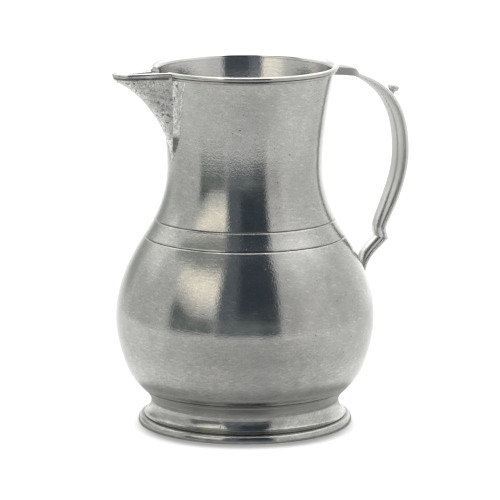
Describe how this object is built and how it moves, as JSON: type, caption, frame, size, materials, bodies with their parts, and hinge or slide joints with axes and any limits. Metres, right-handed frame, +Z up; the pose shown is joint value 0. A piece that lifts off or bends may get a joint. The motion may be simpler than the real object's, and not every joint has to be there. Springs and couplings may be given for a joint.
{
  "type": "pewter pitcher",
  "caption": "Round-bellied pewter jug on a turned foot ring, with a let-in beak spout and a cast strap handle opposite.",
  "frame": {"origin": "centre of the foot ring, on the plane that the pitcher stands on", "axes": "+Z up along the axis of the body, +X from that axis towards the handle, so the spout points along -X"},
  "size_m": [0.1888, 0.1552, 0.216],
  "materials": {
    "body_pewter": "satin old pewter with fine turning lines",
    "inside_pewter": "dull cast pewter",
    "foot_pewter": "satin turned pewter",
    "spout_pewter": "cast pewter, pitted",
    "handle_pewter": "cast pewter, worn smooth",
    "solder": "wiped pewter solder, rough"
  },
  "bodies": {
    "root": {"neck": "body_pewter", "bowl": "body_pewter", "base_disc": "inside_pewter", "foot_ring": "foot_pewter", "spout": "spout_pewter", "handle": "handle_pewter", "shoulder_solder": "solder", "base_solder": "solder", "foot_solder": "solder", "spout_solder": "solder", "handle_top_solder": "solder", "handle_foot_solder": "solder"}
  },
  "joints": []
}
